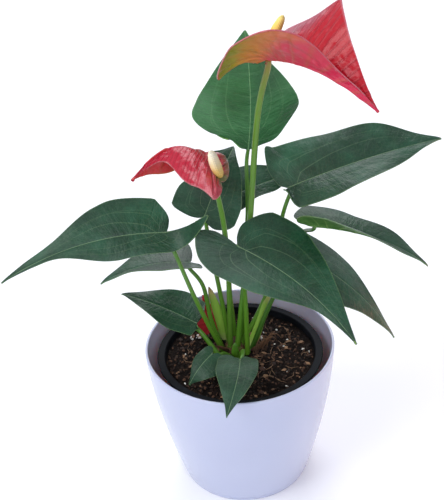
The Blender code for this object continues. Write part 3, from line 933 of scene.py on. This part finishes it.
def leafSkin(name, look):
    # a waxy cuticle over dark green tissue: pale sunken veins, a fine net between them,
    # a soft bluish bloom that takes the light broadly
    material, tree, shader = startMaterial(name, {
        "IOR": 1.45, "Specular IOR Level": .42, "Coat Weight": look["coat"],
        "Coat Roughness": look["coatRoughness"], "Subsurface Weight": .03,
        "Subsurface Radius": (.001, .002, .0005)})
    where = objectPlace(tree)
    veinPlace, sideways, along = mapPlace(tree, "veins")
    sizePlace, fromRib, _ = mapPlace(tree, "size")
    # midrib, about 1.5 mm wide at the foot and slimmer towards the tip
    slim = remap(tree, along, 0, 1, 1.0, 2.6)
    strong = remap(tree, calc(tree, "MULTIPLY", calc(tree, "ABSOLUTE", fromRib), slim),
                   .0078, .001)
    # side veins: the nearest whole number of v times their count
    wander = noiseNode(tree, where, 30.0, 1.0)
    bent = calc(tree, "ADD", along, calc(tree, "MULTIPLY_ADD", wander, .010, -.005))
    near = calc(tree, "PINGPONG", calc(tree, "MULTIPLY", bent, float(veinRows)), .5)
    out = calc(tree, "ABSOLUTE", calc(tree, "SUBTRACT", sideways, .5))
    faded = calc(tree, "MULTIPLY", remap(tree, near, .085, .01),
                 remap(tree, out, .05, .46, 1.0, .15))
    # a vein that runs just inside the margin
    rim = calc(tree, "MULTIPLY", calc(tree, "COMPARE", out, .452, .006), .35)
    sides = calc(tree, "MAXIMUM", faded, rim)
    # main veins that leave the joint, swing out and run up beside the margin:
    # start (along the rows), how far out they settle, how fast
    for start, settle, pace, width, weight in ((.37, .36, 4.2, .0042, .42),
                                               (.28, .43, 5.5, .0038, .3),
                                               (.15, .37, 7.0, .0035, .2)):
        since = calc(tree, "SUBTRACT", along, start)
        power = calc(tree, "EXPONENT", calc(tree, "MULTIPLY", since, -pace))
        target = calc(tree, "MULTIPLY_ADD", power, -settle, settle)
        apart = calc(tree, "ABSOLUTE", calc(tree, "SUBTRACT", out, target))
        line = remap(tree, apart, 2.2 * width, .4 * width, 0, weight)
        dim = remap(tree, along, .95, .3, .15, 1)
        strong = calc(tree, "MAXIMUM", strong, calc(tree, "MULTIPLY", line, dim))
    veins = calc(tree, "MAXIMUM", strong, sides)
    # the net of small veins, cells of about 3 mm
    net = addNode(tree, "TexVoronoi", {"feature": "DISTANCE_TO_EDGE", "Scale": 33.0},
                  {"Vector": sizePlace}).outputs["Distance"]
    netLine = remap(tree, net, .10, .0, 0, look["net"])
    blotch = noiseNode(tree, where, 42.0, 4.0, .6)
    colour = rampNode(tree, blotch, look["body"])
    colour = blend(tree, netLine, colour, look["veinColour"])
    # where the margin rolls over, the bright lower skin shows
    colour = blend(tree, numbersOf(tree, "tone"), colour, look["bright"])
    share = calc(tree, "MAXIMUM", calc(tree, "MULTIPLY", sides, look["veinShare"]),
                 calc(tree, "MULTIPLY", strong, look["ribShare"]))
    colour = blend(tree, share, colour, look["veinColour"])
    # the outermost edge is a touch paler
    colour = blend(tree, remap(tree, out, .488, .5, 0, .6), colour, look["edge"])
    # pleats that run out from the midrib beside the veins: they break the sheen up
    pleats = noiseNode(tree, stretched(tree, veinPlace, (5.0, 38.0, 1.0)), 1.0, 4.0, .6)
    pleated = bumpNode(tree, pleats, look["pleats"], .003)
    relief = calc(tree, "MULTIPLY_ADD", veins, look["veinLift"], netLine)
    relief = calc(tree, "MULTIPLY_ADD", noiseNode(tree, where, 600.0, 3.0), .35, relief)
    rough = remap(tree, blotch, 0, 1, *look["roughness"])
    dress(tree, shader, colour, rough, relief, .35, .0004, pleated)
    return material


leafSkins = {
    "mature": {"coat": .12, "coatRoughness": .24, "net": .03, "ribShare": .46,
               "veinShare": .02, "pleats": .42, "veinLift": -.6, "roughness": (.36, .5),
               "veinColour": "#8FB07F", "edge": "#6C8A58", "bright": "#5E8A34",
               "body": [(.25, "#0F2E1C"), (.5, "#174028"), (.75, "#22553A")]},
    "young": {"coat": .16, "coatRoughness": .22, "net": .03, "ribShare": .6,
              "veinShare": .04, "pleats": .55, "veinLift": -.6, "roughness": (.36, .48),
              "veinColour": "#8FBE84", "edge": "#6F9A5E", "bright": "#5F9E36",
              "body": [(.25, "#22522C"), (.5, "#2D6637"), (.75, "#3E7A48")]},
    "under": {"coat": .05, "coatRoughness": .5, "net": .10, "ribShare": .8, "pleats": .15,
              "veinShare": .5, "veinLift": .7, "roughness": (.5, .62),
              "veinColour": "#8FAE5E", "edge": "#7E6A3E", "bright": "#6E9A3C",
              "body": [(.25, "#2C5420"), (.5, "#386428"), (.75, "#487434")]},
}
leafMaterials = {name: leafSkin(name + "LeafCuticle", look)
                 for name, look in leafSkins.items()}
print("leaf materials done")


def stalkPath(shape, axes):
    # the CAD stalk, carried on until it meets the blade
    along, _, up, length = axes
    slope = 4 * shape["arch"] / length
    joint = np.array(shape["joint"], float)
    normal = unit(up - slope * along)
    arrive = unit(joint - np.array(shape["stem"][-1], float))
    end = joint + 1.2 * along - normal * .7
    before = end - arrive * 2.6 - normal * 1.4
    return shape["stem"] + [tuple(before), tuple(end)]


def buildStalk(name, node, shape, axes):
    path = stalkPath(shape, axes)
    # the foot goes a little way down between its neighbours
    first, second = np.array(path[0], float), np.array(path[1], float)
    path = [tuple(first - unit(second - first) * 3.5)] + path
    foot, top = shape["stemRadius"]
    length = np.sum(np.linalg.norm(np.diff(np.array(path, float), axis=0), axis=1))

    def radiusAt(share, angle):
        radius = foot + (top - foot) * np.minimum(share * 1.1, 1)
        # a clasping foot, and a slightly swollen joint under the blade
        radius = radius * (1 + .55 * np.exp(-share * length / 14))
        radius = radius * (1 + .18 * np.exp(-((1 - share) * length - 7) ** 2 / 18))
        endRound = np.clip((1 - share) * length / 2.2, 0, 1)
        groove = .12 * np.exp(-(angle - 1.57) ** 2 / .12) * np.clip(share * 4, 0, 1)
        return radius * (.45 + .55 * np.sqrt(endRound)) * (1 - groove)
    piece = rodPiece(name, 20, 60, path, radiusAt)
    finishPiece(piece, [node], stalkLooks[shape["stalk"]], softShade)


def rolledEdge(t, share, onRight, _):
    # where the lower left margin of the upright leaf rolls forward: a mask for the colour of
    # the lower skin; the blade's shape is not changed
    low = np.clip((.36 - t) * 12, 0, 1) * ~onRight
    return low * np.clip((share - .80 + .5 * np.abs(t - .2)) * 9, 0, 1)


leaves["back"]["tone"] = rolledEdge
for name, spec in leaves.items():
    skin = spec.get("skin", "mature")
    shape, axes = buildBlade("blade_" + name, "leaf_" + name, spec,
                             [leafMaterials[skin], leafMaterials["under"]])
    buildStalk("stalk_" + name, "petiole_" + name, shape, axes)
print("leaves done")


# flowers: glossy spathe, beaded spike

def spatheSkin(name, look):
    # a lacquer-like cuticle: wet gloss, fine raised veins, colour that turns from
    # green through orange to red as the flower ages
    material, tree, shader = startMaterial(name, {
        "IOR": 1.5, "Specular IOR Level": .28, "Coat Weight": look["coat"],
        "Coat Roughness": .1,
        "Subsurface Weight": .06, "Subsurface Radius": (.003, .001, .0008)})
    where = objectPlace(tree)
    _, sideways, along = mapPlace(tree, "veins")
    blotch = noiseNode(tree, where, 75.0, 5.0, .62)
    spread = calc(tree, "MULTIPLY_ADD", blotch, look["blotch"], -look["blotch"] / 2)
    aged = calc(tree, "ADD", numbersOf(tree, "tone"), spread)
    near = calc(tree, "PINGPONG", calc(tree, "MULTIPLY", along, look["ribs"]), .5)
    vein = remap(tree, near, .2, .02, 0, .3)
    colour = blend(tree, vein, rampNode(tree, aged, look["body"]), look["veinColour"])
    out = calc(tree, "ABSOLUTE", calc(tree, "SUBTRACT", sideways, .5))
    colour = blend(tree, remap(tree, out, .482, .497, 0, .8), colour, look["edge"])
    crinkle = noiseNode(tree, where, 210.0, 4.0)
    relief = calc(tree, "MULTIPLY_ADD", crinkle, .8, vein)
    rough = remap(tree, blotch, 0, 1, *look["roughness"])
    dress(tree, shader, colour, rough, relief, look["bump"], .0015)
    return material


spatheSkins = {
    "highInner": {"coat": .24, "blotch": .12, "ribs": 40.0, "veinColour": "#8E1522",
                  "edge": "#C06A74", "roughness": (.3, .42), "bump": .9,
                  "body": [(0, "#8B6F54"), (.22, "#B04A4C"), (.42, "#B4061C"),
                           (.6, "#B00E26"), (1, "#A84656")]},
    "highOuter": {"coat": .35, "blotch": .16, "ribs": 16.0, "veinColour": "#A9663C",
                  "edge": "#B8404A", "roughness": (.26, .38), "bump": .5,
                  "body": [(0, "#6E7410"), (.15, "#8E8420"), (.29, "#C8763A"),
                           (.42, "#D06C4A"), (.58, "#CC4658"), (1, "#C41E44")]},
    "middleInner": {"coat": .24, "blotch": .16, "ribs": 40.0, "veinColour": "#9E1E30",
                    "edge": "#B86A6E", "roughness": (.3, .4), "bump": .8,
                    "body": [(0, "#66703A"), (.2, "#8E5E48"), (.42, "#B02C44"),
                             (1, "#B0102C")]},
    "middleOuter": {"coat": .4, "blotch": .3, "ribs": 16.0, "veinColour": "#9A4A30",
                    "edge": "#B8803A", "roughness": (.3, .42), "bump": .4,
                    "body": [(0, "#8C7A40"), (.3, "#B8482E"), (1, "#C42A34")]},
    # low spathe: its red is painted lighter than its own colour, as painted light that makes up
    # for the shade it sits in
    "lowBothPaintedLight": {"coat": .3, "blotch": .3, "ribs": 9.0, "veinColour": "#8E1522",
                "edge": "#A82A35", "roughness": (.3, .4), "bump": .4,
                "body": [(0, "#C8303C"), (1, "#E04450")]},
}
spatheMaterials = {name: spatheSkin(name + "SpatheLacquer", look)
                   for name, look in spatheSkins.items()}


def highTone(t, share, onRight, points):
    # the near half ages from its lobe, olive, to its tip, rose
    across = points[:, 0]
    near = np.interp(across, [-15, 3, 11, 28, 46, 72], [.0, .08, .22, .34, .5, 1])
    near = near + .34 * (1 - share) * np.clip((across - 20) / 12, 0, 1)
    far = .45 + .55 * np.clip((share - .45) / .3, 0, 1) * np.clip((.66 - t) * 9, 0, 1)
    return np.where(onRight, np.clip(near, 0, 1), far)


def middleTone(_, share, onRight, points):
    # green at the joint and on the lobe beside it, crimson further out
    joint = np.array(flowers["middle"]["joint"], float)
    near = np.clip(1.2 - np.linalg.norm(points - joint, axis=1) / 11, 0, 1)
    side = np.interp(points[:, 0], [-20, -9, -2, 4], [.95, .62, .2, .05])
    return np.clip(side - .7 * near, 0, 1)


def spatheWrinkle(depth):
    def wrinkle(t, share, _):
        fine = np.sin(t * 62 + 3 * share) * np.sin(math.pi * share) * depth
        cross = .4 * depth * np.sin(share * 17 + t * 9)
        return fine + cross * np.sin(math.pi * np.clip(share, 0, 1))
    return wrinkle


flowers["high"].update(tone=highTone, wrinkle=spatheWrinkle(.3))
flowers["middle"].update(tone=middleTone, wrinkle=spatheWrinkle(.38))
spatheSides = {"spatheHigh": ("highInner", "highOuter"),
               "spatheMiddle": ("middleInner", "middleOuter"),
               "spatheLow": ("lowBothPaintedLight", "lowBothPaintedLight")}


def spikeSkin(name, stops):
    # hundreds of tiny closed florets: a waxy yellow skin, with painted shade darkening the gaps
    # between them and painted light brightening their crowns
    material, tree, shader = startMaterial(name, {
        "IOR": 1.45, "Roughness": .5, "Subsurface Weight": .15,
        "Subsurface Radius": (.002, .0015, .0006)})
    grain = noiseNode(tree, objectPlace(tree), 400.0, 3.0)
    mixed = calc(tree, "MULTIPLY_ADD", grain, .2, numbersOf(tree, "alongRod"))
    # painted shade and light: darker in the gaps between florets, lighter on their crowns
    shade = remap(tree, numbersOf(tree, "floret"), 0, 1, .62, 1.12)
    colour = lighten(tree, rampNode(tree, mixed, stops), shade)
    dress(tree, shader, colour, remap(tree, grain, 0, 1, .42, .6))
    return material


spikeLooks = {
    "high": spikeSkin("spikeYellow", [(0, "#D9A02C"), (.5, "#F2C43A"), (1, "#F8DF7E")]),
    "middle": spikeSkin("spikeCream", [(0, "#E0B64A"), (.4, "#EFD07A"), (.7, "#F2E3B4"),
                                       (1, "#F6EFD2")]),
}


def spikeBody(share):
    # share of the full thickness, from foot to tip
    return np.interp(share, [0, .06, .14, .4, .7, .88, .95, .985, 1],
                     [.50, .66, .84, 1.0, .9, .7, .5, .3, .04])


def buildSpike(name, node, shape):
    aim = unit(np.array(shape["spadix"], float))
    long, thick = shape["spadixLength"], shape["spadixRadius"]
    middle = boxCentre(node) / mm
    foot = middle - aim * long * .97 / 2 - aim * 1.5
    tip = middle + aim * long * .97 / 2 + aim * .6
    length = np.linalg.norm(tip - foot)
    # florets round the spike, their spacing and how far they stand out, millimetres
    around, pitch, bead = 13, 1.5, .22

    def floret(share, angle):
        turn = angle / (2 * math.pi) * around
        climb = share * length / pitch
        return (.5 + .5 * np.cos(2 * math.pi * (turn + climb * .5))
                * np.cos(2 * math.pi * (climb * .5 - turn * 5 / 13))) ** .8

    def radiusAt(share, angle):
        body = spikeBody(share) * thick
        return body + bead * floret(share, angle) * np.clip(body / thick, 0, 1)
    bend = np.cross(aim, [0, 1, 0]) * length * .02
    path = [foot, (foot + tip) / 2 + bend, tip]
    piece = rodPiece(name, 104, 190, path, radiusAt)
    flat = pointsOf(piece)
    share = np.clip(((flat / mm - foot) @ aim) / length, 0, 1)
    side = unit(np.cross(aim, [0, 1, 0]))
    other = np.cross(aim, side)
    angle = np.arctan2((flat / mm - foot) @ other, (flat / mm - foot) @ side)
    reach = np.hypot((flat / mm - foot) @ other, (flat / mm - foot) @ side)
    # how far each point stands out of the body; the spike's material uses it to paint shade
    # into the gaps and light onto the crowns
    addNumbers(piece, "floret", np.clip((reach - spikeBody(share) * thick) / bead, 0, 1))
    finishPiece(piece, [node], spikeLooks[name.split("_")[1]], softShade)


for name, spec in flowers.items():
    inner, outer = spatheSides[spec["skin"]]
    shape, axes = buildBlade("spathe_" + name + "_fine", "spathe_" + name, spec,
                             [spatheMaterials[inner], spatheMaterials[outer]],
                             .7)
    buildStalk("flowerStalk_" + name, "peduncle_" + name, shape, axes)
    if shape["spadix"]:
        buildSpike("spike_" + name, "spadix_" + name, shape)
print("flowers done")


# crown: the short stem, old sheaths, scale leaves and rootlets

shortStem = {
    "below": 1.5, "places": [0, .3, .7, .9, 1], "radii": [9.2, 8.6, 7.6, 5.5, 1.5],
    "ridges": .13, "fineRidges": .06,
}


def buildCrown():
    low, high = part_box("crown")
    middle = boxCentre("crown") / mm
    bottom, top = low.z / mm - shortStem["below"], high.z / mm

    def radiusAt(share, angle):
        body = np.interp(share, shortStem["places"], shortStem["radii"])
        return body * (1 + shortStem["ridges"] * np.sin(angle * 5 + share * 4)
                       + shortStem["fineRidges"] * np.sin(angle * 11))
    path = [(middle[0], middle[1], bottom), (middle[0], middle[1], (bottom + top) / 2),
            (middle[0], middle[1], top)]
    piece = rodPiece("shortStem", 64, 26, path, radiusAt)
    finishPiece(piece, ["crown"], stalkLooks["dry"], softShade)


def flatRod(name, path, widest, thin, look, nodes):
    def radiusAt(share, angle):
        return widest * np.interp(share, [0, .15, .6, .9, 1], [.75, 1, .8, .45, .08])
    piece = rodPiece(name, 18, 36, path, radiusAt, thin)
    finishPiece(piece, nodes, stalkLooks[look], softShade)


# path, half width, thinness, look, nodes it replaces
scaleLeaves = {
    "paleSheath": ([(-9.5, 19.8, 102.4), (-15, 19, 130), (-20, 19, 152)], 4.2, .35,
                   "pale", ["sheath_pale"]),
    "dryScaleRight": ([(9, 3, 102.5), (15, 2, 107), (22, 2, 114), (25, 2, 120)], 2.6, .2,
                      "dry", ()),
    "greenScaleFront": ([(-2, -3, 102), (-3.5, -5, 108), (-3.5, -5, 117)], 3.6, .5,
                        "green", ()),
    "greenWingRight": ([(9, 9, 103), (15, 9, 120), (21, 11, 138), (24, 13, 150)], 3.8, .3,
                       "pale", ()),
    "dryScaleLeft": ([(-9, 4, 103), (-14, 0, 110), (-19, -2, 113)], 2.2, .3, "dry", ()),
}

dryFibres = {"count": 9, "firstAt": 10, "spacing": 1.2, "level": 102.5}


def buildFibres():
    # what is left of old sheaths: a few thin dry fibres that curl beside the crown
    made, level = [], dryFibres["level"]
    for k in range(dryFibres["count"]):
        x = dryFibres["firstAt"] + dryFibres["spacing"] * k
        y = random.uniform(-3, 4)
        tall, lean = random.uniform(9, 17), random.uniform(5, 11)
        above = level + .5
        path = [(x, y, level), (x + .5 * lean, y - 1, above + .8 * tall),
                (x + lean, y - 2, above + tall), (x + 1.3 * lean, y - 2, above + .72 * tall)]
        thick = random.uniform(.25, .5)
        made.append(rodPiece("fibre", 8, 18, path,
                             lambda share, angle: thick * (1.1 - .7 * share)))
    joinPieces(made, "dryFibres")
    finishPiece(made[0], (), stalkLooks["dry"], softShade)


buildCrown()
buildFibres()
for name, (path, wide, thin, look, nodes) in scaleLeaves.items():
    flatRod(name, path, wide, thin, look,
            nodes)


rootlets = {"count": 60, "from": 10, "to": 48, "points": 5, "stride": 2.6, "wander": .7,
            "limit": 53}


def buildRootlets():
    made, stride, wander = [], rootlets["stride"], rootlets["wander"]
    for _ in range(rootlets["count"]):
        angle = random.uniform(0, 6.28)
        reach = random.uniform(rootlets["from"], rootlets["to"])
        x, y = reach * math.cos(angle), reach * math.sin(angle)
        path, heading = [], random.uniform(0, 6.28)
        for _ in range(rootlets["points"]):
            path.append((x, y, soilLevel + soilHeight(x, y) + .5 + random.uniform(0, .5)))
            heading += random.uniform(-wander, wander)
            x, y = x + stride * math.cos(heading), y + stride * math.sin(heading)
            if math.hypot(x, y) > rootlets["limit"]:
                x, y = x * .93, y * .93
        thick = random.uniform(.16, .34)
        made.append(rodPiece("rootlet", 6, 12, path,
                             lambda share, angle: thick * (1 - .6 * share)))
    joinPieces(made, "rootlets")
    finishPiece(made[0], (), stalkLooks["root"], softShade)


buildRootlets()
print("crown done")
